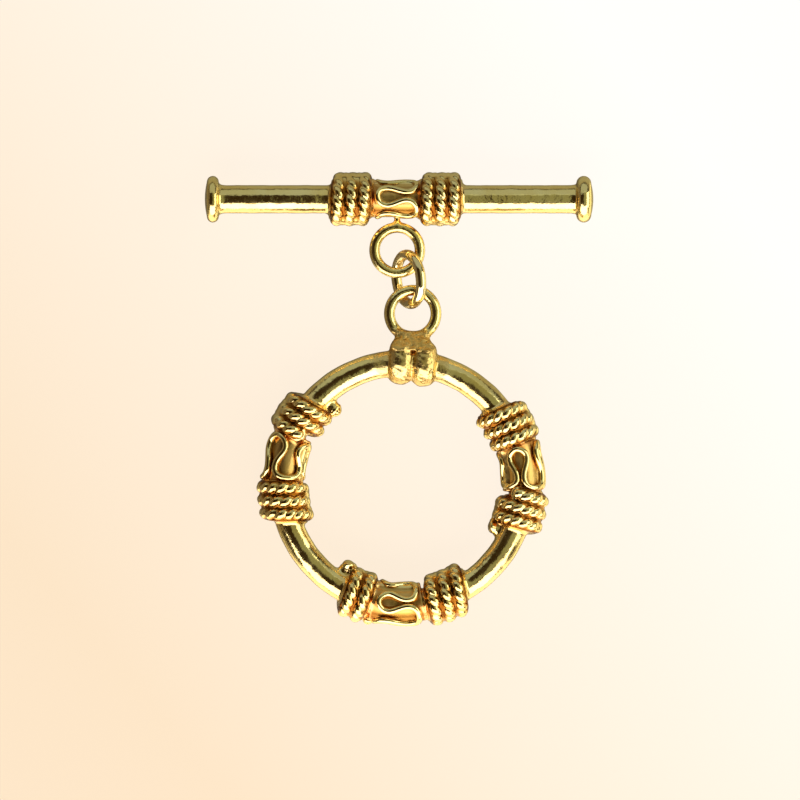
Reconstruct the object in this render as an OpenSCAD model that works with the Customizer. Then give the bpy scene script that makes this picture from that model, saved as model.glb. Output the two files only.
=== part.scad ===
// Toggle clasp with twisted rope windings and meander wires, lying flat.
// The bar runs along X, the clasp ring lies below it along Y, and Z points up from the surface.
// The origin is the middle of the footprint, on the surface that the clasp lies on.

/* [Toggle bar] */
// Length of the bar over its two end discs
bar_length = 25; // [20:0.5:32]
// Diameter of the bar's tube
bar_tube_d = 1.76; // [1.5:0.02:2]
// Diameter of an end disc
disc_d = 3; // [2.5:0.05:3.4]
// Thickness of the left end disc between its two rims
left_disc_t = 0.76; // [0.5:0.02:1]
// Thickness of the right end disc, which was hammered less flat
right_disc_t = 0.96; // [0.5:0.02:1.1]
// Length of the flare from the tube to the left disc
left_flare_len = 0.5; // [0.3:0.05:1]
// Length of the flare from the tube to the right disc
right_flare_len = 0.75; // [0.3:0.05:1]
// Height of the bulge on a disc's end face
disc_dome = 0.13; // [0.05:0.01:0.25]
// Sideways place of the windings and the loop on the bar
trim_x = -0.12; // [-2:0.02:2]

/* [Rope windings] */
// Diameter of one of the two strands that are twisted into a rope
strand_d = 0.4; // [0.3:0.01:0.44]
// Length of rope in which the two strands turn round once
strand_lay = 1.2; // [0.8:0.05:1.6]
// Turns of rope in a winding
rope_turns = 2.5; // [1.5:0.5:3.5]
// Turn about the tube at which the ring's upper left and lower right windings start
late_start = 75; // [60:5:120]
// Turn about the tube at which the left one of the ring's bottom windings starts
low_start = 200; // [180:5:220]
// Gap between neighbouring turns
turn_gap = 0.05; // [0.04:0.01:0.15]
// Gap between a winding and the tube under it
rope_clear = 0.06; // [0.05:0.01:0.15]
// Extra lean of the bar's left winding
bar_left_tilt = -4.5; // [-12:0.5:9]
// Extra lean of the bar's right winding
bar_right_tilt = -6; // [-12:0.5:9]
// Extra lean of the upper left winding on the ring
left_upper_tilt = -11; // [-12:0.5:9]
// Extra lean of the lower left winding on the ring
left_lower_tilt = 2.5; // [-12:0.5:9]
// Extra lean of the left one of the ring's bottom windings
bottom_left_tilt = -2; // [-12:0.5:9]
// Extra lean of the right one of the ring's bottom windings
bottom_right_tilt = 2.5; // [-12:0.5:9]
// Extra lean of the lower right winding on the ring
right_lower_tilt = -5.5; // [-12:0.5:9]
// Extra lean of the upper right winding on the ring
right_upper_tilt = -1.5; // [-12:0.5:9]
// Gap along the tube at the bar's left winding, negative between the lobes
bar_left_gap = 0.03; // [-0.2:0.01:0.4]
// Gap along the tube at the bar's right winding, negative between the lobes
bar_right_gap = -0.14; // [-0.2:0.01:0.4]
// Gap along the tube at the upper left winding on the ring, negative between the lobes
left_upper_gap = -0.08; // [-0.2:0.01:0.4]
// Gap along the tube at the lower left winding on the ring, negative between the lobes
left_lower_gap = -0.15; // [-0.2:0.01:0.4]
// Gap along the tube at the left one of the ring's bottom windings, negative between the lobes
bottom_left_gap = -0.1; // [-0.2:0.01:0.4]
// Gap along the tube at the right one of the ring's bottom windings, negative between the lobes
bottom_right_gap = 0.22; // [-0.2:0.01:0.4]
// Gap along the tube at the lower right winding on the ring, negative between the lobes
right_lower_gap = -0.12; // [-0.2:0.01:0.4]
// Gap along the tube at the upper right winding on the ring, negative between the lobes
right_upper_gap = -0.11; // [-0.2:0.01:0.4]
// How far the loose end of the upper left winding stands off
left_end_lift = 0.12; // [0:0.02:0.5]
// How far the loose end of the bottom winding stands off
low_end_lift = 0.12; // [0:0.02:0.5]

/* [Meander wires] */
// Diameter of the meander wire
meander_wire_d = 0.4; // [0.3:0.01:0.46]
// Length of a meander along the tube
meander_len = 2.95; // [2.4:0.05:4]
// Lobes at each end of a meander
meander_lobes = 4; // [3:1:4]
// Angle by which the wire swings to each side of its run round the tube
meander_swing = 111; // [95:1:113]
// Angle by which the wide lobes of a ring meander are spread at each side
meander_bias = 5; // [0:0.5:6]
// Shift of the bar's meander about the tube, on the upper side
bar_meander_drift = 10; // [-10:0.5:10]
// Angle by which the left meander is spread over the upper side
left_meander_spread = 12; // [0:0.5:14]
// Gap between a meander and what lies under it
meander_clear = 0.02; // [0.02:0.01:0.1]

/* [Bar loop and link] */
// Outer diameter of the loop on the bar
bar_loop_d = 3.6; // [3.4:0.05:4.4]
// Wire diameter of the loop on the bar
bar_loop_wire_d = 0.68; // [0.5:0.01:0.7]
// Gap between the bar's meander and its loop, bridged by the neck
bar_loop_gap = 0.18; // [0.1:0.01:0.5]
// Diameter of the solder neck that carries the loop
neck_d = 0.36; // [0.25:0.01:0.37]
// Diameter of the solder bead where the neck meets the loop
neck_bead_d = 0.62; // [0.4:0.01:0.7]
// Outer diameter of the link between the two loops
link_d = 3.86; // [3.7:0.02:4.4]
// Wire diameter of the link
link_wire_d = 0.68; // [0.5:0.01:0.7]
// Angle by which the link leans up from the surface
link_lean = 61; // [55:1:68]
// Angle by which the link is turned away from the line of the clasp
link_turn = 7; // [4:1:10]
// Sideways place of the link's middle
link_x = 0.62; // [0.58:0.01:0.66]
// Slack between the link and the bar's loop
bar_loop_slack = 0.5; // [0.45:0.01:0.55]
// Slack between the link and the ring's loop
ring_loop_slack = 0.19; // [0.12:0.01:0.24]

/* [Clasp ring] */
// Outer diameter of the bare ring
ring_d = 17.2; // [16:0.1:24]
// Diameter of the ring's tube
ring_tube_d = 1.7; // [1.5:0.02:2]
// Diameter of the sleeves under the ring's meanders
sleeve_d = 2.1; // [1.9:0.02:2.3]
// Length of a sleeve along the tube
sleeve_len = 2.6; // [2:0.05:3.4]
// Angle by which the ring's decoration is turned about its middle
ring_turn = -2.3; // [-6:0.1:6]
// Angle between the ring's top and the decoration on each side
side_angle = 80; // [74:1:84]
// Length of the solder shoulders beside a sleeve
shoulder_len = 0.6; // [0.4:0.02:0.8]
// How much narrower a shoulder's hidden end is than the sleeve
shoulder_drop = 0.9; // [0.6:0.05:1.2]
// Turn of the left meander about the tube
left_meander_turn = 80; // [0:1:90]
// Turn of the lower meander about the tube
low_meander_turn = 26; // [0:1:90]
// Turn of the right meander about the tube
right_meander_turn = 76; // [0:1:90]

/* [Collar and ring loop] */
// Diameter of the two bands of the collar
collar_d = 2.86; // [2.4:0.02:3.2]
// Width of one band of the collar
band_w = 1.5; // [1:0.02:1.8]
// Rounding of a band's edges
band_round = 0.34; // [0.1:0.02:0.45]
// Width of the groove between the two bands
groove_w = 0.5; // [0.2:0.05:0.9]
// Depth of the groove between the two bands
groove_depth = 0.3; // [0.1:0.02:0.45]
// Turn of the collar away from the middle between the side decorations
collar_turn = -2.3; // [-4:0.1:4]
// Outer diameter of the ring's loop
ring_loop_d = 3.7; // [3.5:0.05:4.6]
// Wire diameter of the ring's loop
ring_loop_wire_d = 0.7; // [0.5:0.01:0.72]
// Turn of the ring's loop away from the middle between the side decorations
ring_loop_turn = -1; // [-4:0.1:4]
// Sideways place of the ring's loop
ring_loop_x = 0.876; // [0.84:0.01:0.92]
// Depth to which the ring's loop is let into the collar
loop_sink = 0.07; // [0.03:0.01:0.2]
// Thickness of the solder saddle where it meets the loop
saddle_tip = 0.62; // [0.4:0.02:0.68]
// Height of the saddle above the collar where it starts
saddle_rise = 0.06; // [0.02:0.02:0.2]
// Hollowness of the saddle's back, 1 is a straight slope
saddle_hollow = 1.2; // [1:0.1:1.6]
// Half width of the saddle's tip as a share of the loop's radius
saddle_share = 0.68; // [0.4:0.02:0.9]

/* [Hidden] */
$fn = 40;

gold = [0.86, 0.68, 0.29];
deep_gold = [0.74, 0.52, 0.18];
pale_gold = [0.84, 0.74, 0.44];

// Steps of the swept wires and of the rounded profiles
rope_steps_per_lay = 6;
meander_steps = 20;
wire_sides = 6;
arc_steps = 8;

// How far a solder shoulder reaches into the sleeve, and how much narrower it starts
shoulder_sink = 0.05;

// Rope: two strands side by side, wound with a small gap. Most windings start at a turn of
// 0. Three on the ring start late, beside their meander, and end half a turn later.
rope_d = 2 * strand_d;
rope_pitch = rope_d + turn_gap;
even_turns = [0, 360 * rope_turns];
late_turns = [late_start, 360 * rope_turns + 180];
low_turns = [low_start, 360 * rope_turns + 180];
function rope_run(turns) = rope_pitch * (turns[1] - turns[0]) / 360;
bar_rope_r = bar_tube_d / 2 + rope_clear + rope_d / 2;
ring_rope_r = ring_tube_d / 2 + rope_clear + rope_d / 2;
bar_trim_r = bar_rope_r + rope_d / 2;
ring_trim_r = ring_rope_r + rope_d / 2;
end_lift_angle = 100;

// Distance along the tube from a meander's middle to a winding's middle
function rope_offset(turns, gap) = (meander_len + rope_run(turns) + rope_d) / 2 + gap;

// Heights above the surface
mid_z = max(bar_trim_r, ring_trim_r, disc_d / 2, collar_d / 2);
link_mid_r = (link_d - link_wire_d) / 2;
link_z = link_mid_r * sin(link_lean) + link_wire_d / 2;

// Places along the clasp, measured from the bar's axis
ring_r = (ring_d - ring_tube_d) / 2;
bar_loop_mid_r = (bar_loop_d - bar_loop_wire_d) / 2;
ring_loop_mid_r = (ring_loop_d - ring_loop_wire_d) / 2;
bar_meander_r = bar_tube_d / 2 + meander_clear + meander_wire_d / 2;
ring_meander_r = sleeve_d / 2 + meander_clear + meander_wire_d / 2;
bar_loop_drop = bar_meander_r + meander_wire_d / 2 + bar_loop_gap + bar_loop_d / 2;
link_drop = bar_loop_drop + bar_loop_mid_r + link_mid_r
    - (bar_loop_wire_d + link_wire_d) / 2 - bar_loop_slack;
ring_loop_drop = link_drop + link_mid_r + ring_loop_mid_r
    - (ring_loop_wire_d + link_wire_d) / 2 - ring_loop_slack;
ring_top = 90 + ring_turn;
loop_angle = ring_top + ring_loop_turn;
loop_reach = ring_r + collar_d / 2 + ring_loop_d / 2 - loop_sink;
ring_x = ring_loop_x - loop_reach * cos(loop_angle);
ring_drop = ring_loop_drop + loop_reach * sin(loop_angle);

// Middle angles of the ring's three decorations, and of the windings beside them
right_at = ring_top - side_angle;
left_at = ring_top + side_angle;
bottom_at = ring_top + 180;
function rope_step(turns, gap) = rope_offset(turns, gap) / ring_r * 180 / PI;

// The lowest reach of a winding at an angle on the ring, and the clasp's middle in Y
function low_reach(angle, turns) = -(ring_r + ring_rope_r) * sin(angle)
    + rope_run(turns) / 2 * abs(cos(angle)) + rope_d / 2;
lowest = ring_drop + max(
    low_reach(bottom_at - rope_step(low_turns, bottom_left_gap), low_turns),
    low_reach(bottom_at + rope_step(even_turns, bottom_right_gap), even_turns));
highest = max(bar_trim_r, disc_d / 2);
bar_y = (lowest + highest) / 2 - highest;

// A point beside a tube, bent with the tube when the bend radius isn't zero.
// out: away from the ring's middle, along: along the tube, up: above its axis
function bent(out, along, up, bend_r) =
    bend_r == 0 ? [out, along, up]
    : let (a = along / bend_r * 180 / PI)
        [(bend_r + out) * cos(a) - bend_r, (bend_r + out) * sin(a), up];

function unit(v) = v / norm(v);

// Side faces of a skin over rings of points, closed to a loop or capped at both ends
function skin_faces(rings, sides, closed) = concat(
    [for (i = [0:rings - (closed ? 1 : 2)], j = [0:sides - 1])
        let (a = i * sides, b = ((i + 1) % rings) * sides, k = (j + 1) % sides)
        [a + j, b + j, b + k, a + k]],
    closed ? [] : [
        [for (j = [0:sides - 1]) j],
        [for (j = [sides - 1:-1:0]) (rings - 1) * sides + j]
    ]
);

// Section of the twisted rope: the outline of two strands that touch
rope_section = [
    [strand_d, 0], [strand_d / 2, strand_d / 2], [-strand_d / 2, strand_d / 2],
    [-strand_d, 0], [-strand_d / 2, -strand_d / 2], [strand_d / 2, -strand_d / 2]
];

// A rope wound round a tube whose axis lies along Y, running towards -Y as it turns.
// t is the turn about the tube: 0 at the side away from +X, 90 on top and 180 at +X.
// The turns stay parallel and their middles follow the bent tube. tilt leans them more,
// and lift bends the last end off the tube.
function coil_point(t, turns, mid_r, bend_r, tilt, lift) =
    let (r = mid_r + lift * pow(max(0, 1 - (turns[1] - t) / end_lift_angle), 2),
         run = rope_pitch * ((turns[0] + turns[1]) / 2 - t) / 360,
         lean = mid_r * cos(t) * tan(tilt))
    bent(0, run, 0, bend_r) + [-r * cos(t), lean, r * sin(t)];

module rope_winding(turns, mid_r, bend_r, tilt, lift) {
    turn_len = sqrt(pow(2 * PI * mid_r, 2) + pow(rope_pitch, 2));
    lays = (turns[1] - turns[0]) / 360 * turn_len / strand_lay;
    steps = ceil(lays * rope_steps_per_lay);
    t_step = (turns[1] - turns[0]) / steps;
    points = [for (i = [0:steps])
        let (t = turns[0] + i * t_step,
             p = coil_point(t, turns, mid_r, bend_r, tilt, lift),
             ahead = coil_point(t + t_step / 2, turns, mid_r, bend_r, tilt, lift),
             behind = coil_point(t - t_step / 2, turns, mid_r, bend_r, tilt, lift),
             tangent = unit(ahead - behind),
             side = unit(cross(tangent, [-cos(t), 0, sin(t)])),
             out = cross(side, tangent),
             twist = -360 * lays * i / steps)
        for (s = rope_section)
            p + (s.x * cos(twist) - s.y * sin(twist)) * out
              + (s.x * sin(twist) + s.y * cos(twist)) * side];
    polyhedron(points, skin_faces(steps + 1, len(rope_section), false));
}

// One period of the meander: the wire's heading swings like a cosine along its length
function heading(i) = meander_swing * cos(360 * i / meander_steps);
meander_period = [for (i = 0, p = [0, 0]; i <= meander_steps;
    p = p + [cos(heading(i + 0.5)), sin(heading(i + 0.5))], i = i + 1) p];
period_w = meander_period[meander_steps].x;
period_h = meander_period[meander_steps / 4].y - meander_period[3 * meander_steps / 4].y;

// The wire's place after i steps. bias spreads the lobes at the +Y end, drift turns the
// wire onwards on the upper side, and spread opens the lobes there.
function meander_point(i, mid_r, turn, bend_r, bias, drift, spread) =
    let (lobe = floor(i / meander_steps),
         q = meander_period[i - lobe * meander_steps],
         even = turn + (lobe + q.x / period_w) * 360 / meander_lobes,
         around = even - bias * cos(meander_lobes * (even - turn))
             + drift * sin(even) - spread * cos(even),
         along = q.y / period_h * (meander_len - meander_wire_d))
    bent(mid_r * cos(around), along, mid_r * sin(around), bend_r);

// The wire of a meander round a tube whose axis lies along Y, as one closed loop
module meander(mid_r, turn, bend_r, bias, drift, spread) {
    rings = meander_lobes * meander_steps;
    path = [for (i = [0:rings - 1])
        meander_point(i, mid_r, turn, bend_r, bias, drift, spread)];
    points = [for (i = [0:rings - 1])
        let (p = path[i],
             tangent = unit(path[(i + 1) % rings] - path[(i + rings - 1) % rings]),
             away = p - bent(0, along_of(p, bend_r), 0, bend_r),
             side = unit(cross(tangent, away)),
             out = cross(side, tangent))
        for (j = [0:wire_sides - 1])
            let (a = 360 * (j + 0.5) / wire_sides)
            p + meander_wire_d / 2 * (cos(a) * out + sin(a) * side)];
    polyhedron(points, skin_faces(rings, wire_sides, true));
}

// How far along the tube a point beside it lies
function along_of(p, bend_r) =
    bend_r == 0 ? p.y : atan2(p.y, p.x + bend_r) * PI / 180 * bend_r;

// A round wire loop lying flat
module wire_loop(outer_d, wire_d) {
    rotate_extrude()
        translate([(outer_d - wire_d) / 2, 0]) circle(d = wire_d);
}

// Half of the bar's outline from its middle to an end: tube, flare, rim and domed face
module bar_half(disc_t, flare_len) {
    tube_r = bar_tube_d / 2;
    rim_r = disc_t / 2;
    rim_mid = disc_d / 2 - rim_r;
    face = bar_length / 2 - disc_dome;
    inner = face - disc_t;
    flare = [for (i = [0:arc_steps])
        let (a = 90 * i / arc_steps)
        [tube_r + (rim_mid - tube_r) * (1 - cos(a)), inner - flare_len * (1 - sin(a))]];
    rim = [for (i = [1:2 * arc_steps])
        let (a = -90 + 90 * i / arc_steps)
        [rim_mid + rim_r * cos(a), face - rim_r + rim_r * sin(a)]];
    dome = [for (i = [1:arc_steps])
        let (a = 90 * i / arc_steps)
        [rim_mid * cos(a), face + disc_dome * sin(a)]];
    rotate_extrude()
        polygon(concat([[0, 0], [tube_r, 0]], flare, rim, dome));
}

// The bar with its end discs, its solder neck and the loop that the link hangs from
module toggle_bar() {
    neck_len = bar_loop_drop - bar_loop_mid_r;
    bead_from = bar_meander_r + meander_wire_d / 2;
    color(gold)
    translate([0, bar_y, mid_z]) {
        rotate([0, 90, 0]) bar_half(right_disc_t, right_flare_len);
        rotate([0, -90, 0]) bar_half(left_disc_t, left_flare_len);
        translate([trim_x, 0, 0]) {
            rotate([90, 0, 0]) {
                cylinder(d = neck_d, h = neck_len);
                translate([0, 0, bead_from])
                    cylinder(d1 = neck_d, d2 = neck_bead_d, h = neck_len - bead_from);
            }
            translate([0, -bar_loop_drop, 0])
                wire_loop(bar_loop_d, bar_loop_wire_d);
        }
    }
}

// The frame of the bar's decoration: +Y of the children runs along the bar
module on_bar(shift) {
    translate([trim_x + shift, bar_y, mid_z]) rotate([0, 0, -90]) children();
}

// A winding on the bar; side is 1 towards +X of the meander and -1 on its other side
module bar_rope(side, gap, tilt) {
    color(deep_gold)
    on_bar(side * rope_offset(even_turns, gap))
        rope_winding(even_turns, bar_rope_r, 0, tilt, 0);
}

module bar_meander() {
    color(pale_gold)
    on_bar(0) meander(bar_meander_r, 90 / meander_lobes, 0, 0, bar_meander_drift, 0);
}

// The loose link, leaning on the surface, through both loops
module link() {
    color(gold)
    translate([link_x, bar_y - link_drop, link_z])
        rotate([0, 0, link_turn])
            rotate([0, -link_lean, 0])
                wire_loop(link_d, link_wire_d);
}

// The frame of a place on the ring: +X of the children points outwards, +Y along the tube
module on_ring(angle) {
    translate([ring_x, bar_y - ring_drop, mid_z])
        rotate([0, 0, angle]) translate([ring_r, 0, 0]) children();
}

// A sleeve over the ring's tube, centred on an angle, with a shoulder of solder that
// slopes from each of its ends down to the tube
module sleeve(angle) {
    span = sleeve_len / ring_r * 180 / PI;
    rotate([0, 0, angle - span / 2])
        rotate_extrude(angle = span)
            translate([ring_r, 0]) circle(d = sleeve_d);
    for (side = [-1, 1])
        rotate([0, 0, angle + side * span / 2])
            translate([ring_r, 0, 0])
                rotate([-90 * side, 0, 0])
                    translate([0, 0, -shoulder_sink])
                        cylinder(d1 = sleeve_d - shoulder_sink, d2 = sleeve_d - shoulder_drop,
                            h = shoulder_len + shoulder_sink);
}

// The collar: two rounded bands side by side, turned about the line of the tube
module collar() {
    edge = [for (i = [0:arc_steps])
        let (a = 90 * i / arc_steps)
        [collar_d / 2 - band_round * (1 - cos(a)), band_w - band_round * (1 - sin(a))]];
    groove = [for (i = [0:arc_steps])
        let (a = 180 * i / arc_steps)
        [collar_d / 2 - groove_depth * (1 - cos(a)) / 2, groove_w / 2 * (1 - i / arc_steps)]];
    half = concat([for (i = [arc_steps:-1:0]) edge[i]], groove);
    other = [for (i = [len(half) - 2:-1:0]) [half[i].x, -half[i].y]];
    rotate([-90, 0, 0])
        rotate_extrude()
            polygon(concat([[0, band_w]], half, other, [[0, -band_w]]));
}

// The solder that fills the corner between collar and loop. Seen from above its sides
// sweep in an S-curve from the collar's width to the loop, and seen from the side its
// back slopes down to a tip that lies inside the loop's wire.
module saddle() {
    foot = ring_tube_d / 2;
    tip = collar_d / 2 - loop_sink + ring_loop_wire_d;
    foot_half = band_w - band_round / 4;
    tip_half = ring_loop_mid_r * saddle_share;
    foot_high = sqrt(pow(collar_d / 2, 2) - pow(foot, 2)) + saddle_rise;
    sweep = [for (i = [0:arc_steps])
        let (u = i / arc_steps)
        [foot + (tip - foot) * u, tip_half + (foot_half - tip_half) * (1 + cos(180 * u)) / 2]];
    back = [for (i = [0:arc_steps])
        let (u = i / arc_steps)
        [foot + (tip - foot) * u,
         saddle_tip / 2 + (foot_high - saddle_tip / 2) * pow(1 - u, saddle_hollow)]];
    intersection() {
        translate([0, 0, -collar_d / 2])
            linear_extrude(collar_d) mirrored_outline(sweep);
        translate([0, collar_d, 0]) rotate([90, 0, 0])
            linear_extrude(2 * collar_d) mirrored_outline(back);
    }
}

// An outline that is the same on both sides of the X axis
module mirrored_outline(side) {
    polygon(concat(side, [for (i = [len(side) - 1:-1:0]) [side[i].x, -side[i].y]]));
}

// The ring with its three sleeves, its collar and the loop soldered on it
module clasp_ring() {
    collar_at = ring_top + collar_turn;
    color(gold) {
        translate([ring_x, bar_y - ring_drop, mid_z]) {
            rotate_extrude() translate([ring_r, 0]) circle(d = ring_tube_d);
            for (angle = [right_at, left_at, bottom_at]) sleeve(angle);
        }
        on_ring(collar_at) collar();
        on_ring((collar_at + loop_angle) / 2) saddle();
        on_ring(loop_angle)
            translate([loop_reach - ring_r, 0, 0]) wire_loop(ring_loop_d, ring_loop_wire_d);
    }
}

// A winding on the ring; side is 1 beyond a decoration's middle and -1 before it
module ring_rope(station, side, turns, gap, tilt, lift) {
    color(deep_gold)
    on_ring(station + side * rope_step(turns, gap))
        rope_winding(turns, ring_rope_r, ring_r, tilt, lift);
}

module ring_meander(station, turn, bias, spread) {
    color(pale_gold)
    on_ring(station) meander(ring_meander_r, turn, ring_r, bias, 0, spread);
}

toggle_bar();
bar_rope(-1, bar_left_gap, bar_left_tilt);  // bar_rope_left
bar_rope(1, bar_right_gap, bar_right_tilt);  // bar_rope_right
bar_meander();
link();
clasp_ring();
ring_rope(left_at, -1, late_turns, left_upper_gap, left_upper_tilt, left_end_lift);  // ring_rope_left_upper
ring_rope(left_at, 1, even_turns, left_lower_gap, left_lower_tilt, 0);  // ring_rope_left_lower
ring_rope(bottom_at, -1, low_turns, bottom_left_gap, bottom_left_tilt, low_end_lift);  // ring_rope_bottom_left
ring_rope(bottom_at, 1, even_turns, bottom_right_gap, bottom_right_tilt, 0);  // ring_rope_bottom_right
ring_rope(right_at, -1, late_turns, right_lower_gap, right_lower_tilt, 0);  // ring_rope_right_lower
ring_rope(right_at, 1, even_turns, right_upper_gap, right_upper_tilt, 0);  // ring_rope_right_upper
ring_meander(left_at, left_meander_turn, meander_bias, left_meander_spread);  // ring_meander_left
ring_meander(bottom_at, low_meander_turn, meander_bias, 0);  // ring_meander_bottom
ring_meander(right_at, right_meander_turn, -meander_bias, 0);  // ring_meander_right
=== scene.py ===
"""A gold toggle clasp, lying flat on a pale surface and seen from straight above.

The bar with its end discs and loop, the clasp ring with its sleeves, collar and loop, and the
twisted ropes wound round both are skins of smooth solid fields, so that solder flows from one
form into the next. The meander wires and the link are swept round wires. Sizes are in
millimetres and angles in degrees, on the part's own frame, and every mesh is scaled to metres
when it is made.
"""

import math

import bpy
import numpy as np
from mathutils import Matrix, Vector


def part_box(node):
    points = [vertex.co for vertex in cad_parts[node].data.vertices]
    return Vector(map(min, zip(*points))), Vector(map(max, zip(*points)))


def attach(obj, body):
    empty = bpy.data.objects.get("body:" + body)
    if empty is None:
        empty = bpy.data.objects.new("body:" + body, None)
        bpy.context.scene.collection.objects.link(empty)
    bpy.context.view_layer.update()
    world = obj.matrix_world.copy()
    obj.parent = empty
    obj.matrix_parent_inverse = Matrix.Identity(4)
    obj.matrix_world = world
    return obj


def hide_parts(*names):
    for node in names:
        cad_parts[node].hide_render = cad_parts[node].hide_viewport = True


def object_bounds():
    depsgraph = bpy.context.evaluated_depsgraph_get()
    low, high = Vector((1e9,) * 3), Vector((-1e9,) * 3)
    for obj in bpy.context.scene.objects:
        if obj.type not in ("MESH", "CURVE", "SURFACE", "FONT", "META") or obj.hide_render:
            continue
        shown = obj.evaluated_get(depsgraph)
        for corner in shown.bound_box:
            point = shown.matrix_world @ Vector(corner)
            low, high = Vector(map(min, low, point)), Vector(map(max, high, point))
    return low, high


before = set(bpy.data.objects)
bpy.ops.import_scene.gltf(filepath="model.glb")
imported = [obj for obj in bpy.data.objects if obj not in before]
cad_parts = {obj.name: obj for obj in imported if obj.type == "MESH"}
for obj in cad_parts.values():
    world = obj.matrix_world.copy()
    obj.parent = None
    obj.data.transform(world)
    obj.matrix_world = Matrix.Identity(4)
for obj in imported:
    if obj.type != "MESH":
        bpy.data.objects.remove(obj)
cad_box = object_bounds()

MM = 0.001
DEG = math.pi / 180
TINY = 1e-6

# Every mesh stays this far, in metres, inside the box of the solids
BOX_ROOM = 1e-6
LOW_CORNER = np.array(cad_box[0]) + BOX_ROOM
HIGH_CORNER = np.array(cad_box[1]) - BOX_ROOM

# Toggle bar
BAR_LENGTH = 25.0
BAR_TUBE_R = 0.88
DISC_R = 1.5
LEFT_DISC_T = 0.76
RIGHT_DISC_T = 0.96
LEFT_FLARE_LEN = 0.5
RIGHT_FLARE_LEN = 0.75
DISC_DOME = 0.13
FLARE_BLEND = 0.06
DISC_BLEND = 0.1
TRIM_X = -0.12

# Twisted rope
STRAND_D = 0.4
STRAND_LAY = 1.2
STRAND_FULL_R = 0.225
TURN_GAP = 0.05
TURN_OVERLAP = 60
BEND_ROUNDS = 2
ROPE_CLEAR = 0.06
END_LIFT_ANGLE = 100.0
END_FADE = 0.08
SHOULDER_R = 0.55

# Seeded waves: their least strength, and how much more chance can add
WAVE_LEAST = 0.6
WAVE_MORE = 0.8

# The rope's unevenness, each as its size and the lengths of its waves
ROPE_SEED = 438
OUTWARD_WAVE = (0.010, (3.1, 5.3, 8.7))
SIDEWAYS_WAVE = (0.022, (2.7, 4.9, 9.1))
TWIST_WAVE = (0.25, (1.9, 3.7))

# Solder in the ropes. Each blend is its width between clean forms and what melting adds to it.
ROW_FILL = 0.13
MELT_FILL = 0.27
FILL_ROUND = 0.12
FILL_OVERLAP = 0.04
MELT_MOST = 0.85
MELT_EDGE = 25
MELT_SWELL = 0.09
BEAD_START = 0.9
BEAD_FULL = 0.3
BAR_OUTER_MELT = 0.8
RING_OUTER_MELT = 0.25
OUTER_MELT_EDGE = (0.75, 1)
STRAND_BLEND = (0.035, 0.1)
FILL_BLEND = (0.06, 0.08)
TURN_BLEND = (0.09, 0.12)

# Solder that a winding is bedded in
BED_RISE = 0.42
BED_OVERLAP = 0.06
BED_ROUND = 0.1
BED_BLEND = 0.34

# Meander wires
WIRE_D = 0.4
WIRE_FULL = 0.98
WIRE_WAVE = 0.006
WIRE_WAVES = 5
WIRE_SIDES = 16
MEANDER_LEN = 2.95
LOBES = 4
SWING = 111.0
BIAS = 5.0
BAR_DRIFT = 10.0
LEFT_SPREAD = 12.0
MEANDER_CLEAR = 0.02
LOBE_STEPS = 60
WIRE_BED_R = WIRE_D / 2 - 0.05
WIRE_BED_REACH = 0.6
WIRE_BED_BLEND = 0.09

# Sleeves under the meanders. Each fill is the solder at its inner and at its outer side,
# and each edge is where it starts and is complete, from 0 on top to 1 at that side.
BAR_SLEEVE_R = 0.95
BAR_SLEEVE_FILL = (0.24, 0.20)
RING_SLEEVE_R = 1.05
RING_SLEEVE_FILL = (0.26, 0.12)
INNER_FILL_EDGE = (0.78, 0.99)
OUTER_FILL_EDGE = (0.8, 0.99)
SLEEVE_OVER = 0.15
SLEEVE_ROUND = 0.1
SLEEVE_BLEND = 0.2

# Loops and link
BAR_LOOP_D = 3.6
BAR_LOOP_WIRE = 0.68
BAR_LOOP_GAP = 0.18
BAR_LOOP_SLACK = 0.5
BAR_LOOP_BLEND = 0.22
NECK_R = 0.19
NECK_BLEND = 0.12
LINK_D = 3.86
LINK_WIRE = 0.68
LINK_LEAN = 61.0
LINK_TURN = 7.0
LINK_X = 0.62
LINK_STEPS = 160
LINK_SIDES = 32
LINK_FULL = 0.99
LINK_WAVES = ((0.004, 3, 0.5), (0.003, 11, 0))
RING_LOOP_D = 3.7
RING_LOOP_WIRE = 0.7
RING_LOOP_X = 0.876
RING_LOOP_SLACK = 0.19
RING_LOOP_TURN = -1.0
RING_LOOP_BLEND = 0.16
LOOP_SINK = 0.07

# Clasp ring
RING_D = 17.2
RING_TUBE_R = 0.85
RING_TURN = -2.3
SIDE_ANGLE = 80.0

# Collar of two straps
COLLAR_R = 1.43
COLLAR_TURN = -2.3
COLLAR_BLEND = 0.16
STRAP_W = 1.5
STRAP_FALL = 0.36
STRAP_FALL_MOST = 1.3
STRAP_POWER = 2.4
STRAP_BLEND = 0.22

# Saddle of solder between the collar and the ring's loop
SADDLE_TIP = 0.62
SADDLE_SHARE = 0.68
SADDLE_INSET = 0.085
SADDLE_RISE = 0.06
SADDLE_POWER = 1.2
SADDLE_DIP = 0.10
SADDLE_DIP_HALF = 0.22
SADDLE_EDGE = 0.3
SADDLE_END = 0.12
SADDLE_BLEND = 0.2

# Lumps of hand-worked solder: seed, size and the lengths of their waves
COLLAR_LUMPS = (5, 0.022, (0.4, 0.7, 1.3))
SADDLE_LUMPS = (11, 0.055, (0.36, 0.55, 0.9))

# Waviness of the tubes: size, waves along, across and up, and phase. The bar's waves are by
# the millimetre along it, and the ring's by the radian round it.
BAR_WAVES = ((0.007, 1.9, 0, 0, 0.7), (0.005, 4.3, 2.1, 0, 0), (0.004, 7.1, 0, 2.9, 0))
RING_WAVES = ((0.008, 9, 0, 0, 0.4), (0.006, 23, 2, 0, 1.3), (0.004, 41, 0, 3, 0))

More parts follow.
